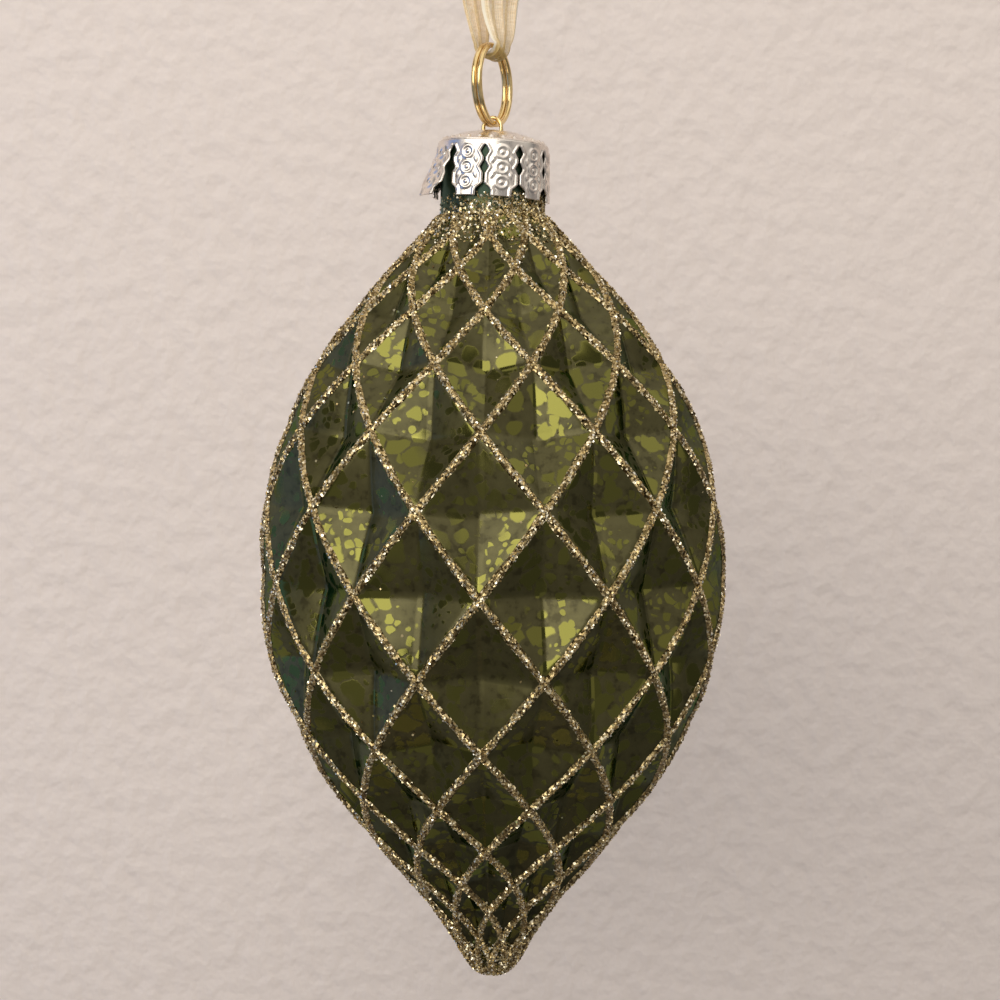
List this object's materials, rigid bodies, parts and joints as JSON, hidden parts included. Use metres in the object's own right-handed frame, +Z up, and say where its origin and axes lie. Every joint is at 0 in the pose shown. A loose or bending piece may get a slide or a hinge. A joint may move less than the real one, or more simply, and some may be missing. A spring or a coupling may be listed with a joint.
{
  "type": "hanging glass ornament",
  "caption": "Hanging spindle ornament of silvered glass with a dented diamond lattice, glitter lines, a crown cap with a wire clip, a split ring and a ribbon loop.",
  "frame": {"origin": "where a hook or twig carries the top of the ribbon loop, under the knot", "axes": "+Z up along the ornament's axis, X along the split ring's wire at its lowest place"},
  "size_m": [0.07, 0.07, 0.2034],
  "materials": {
    "glass": "silvered inside, olive green, antiqued",
    "glitter": "champagne gold grains in glue",
    "cap": "bright stamped sheet",
    "clip": "bright drawn wire",
    "ring": "polished wire",
    "ribbon": "sheer woven organza"
  },
  "bodies": {
    "hanger": {"hanging_ribbon": "ribbon", "ribbon_knot": "ribbon"},
    "ring": {"split_ring": "ring"},
    "cap": {"crown_cap": "cap", "wire_clip": "clip"},
    "glass": {"glass_body": "glass", "glitter_lattice": "glitter"}
  },
  "joints": [
    {"name": "ring_swing", "type": "hinge", "parent": "hanger", "child": "ring", "pos_m": [0, 0, -0.046], "axis": [1, 0, 0], "range_deg": [-45, 45]},
    {"name": "ornament_swing", "type": "hinge", "parent": "ring", "child": "cap", "pos_m": [0, 0, -0.05772], "axis": [0, 1, 0], "range_deg": [-22, 22]},
    {"name": "cap_pull", "type": "slide", "parent": "cap", "child": "glass", "axis": [0, 0, -1], "range_m": [0, 0.03]}
  ]
}
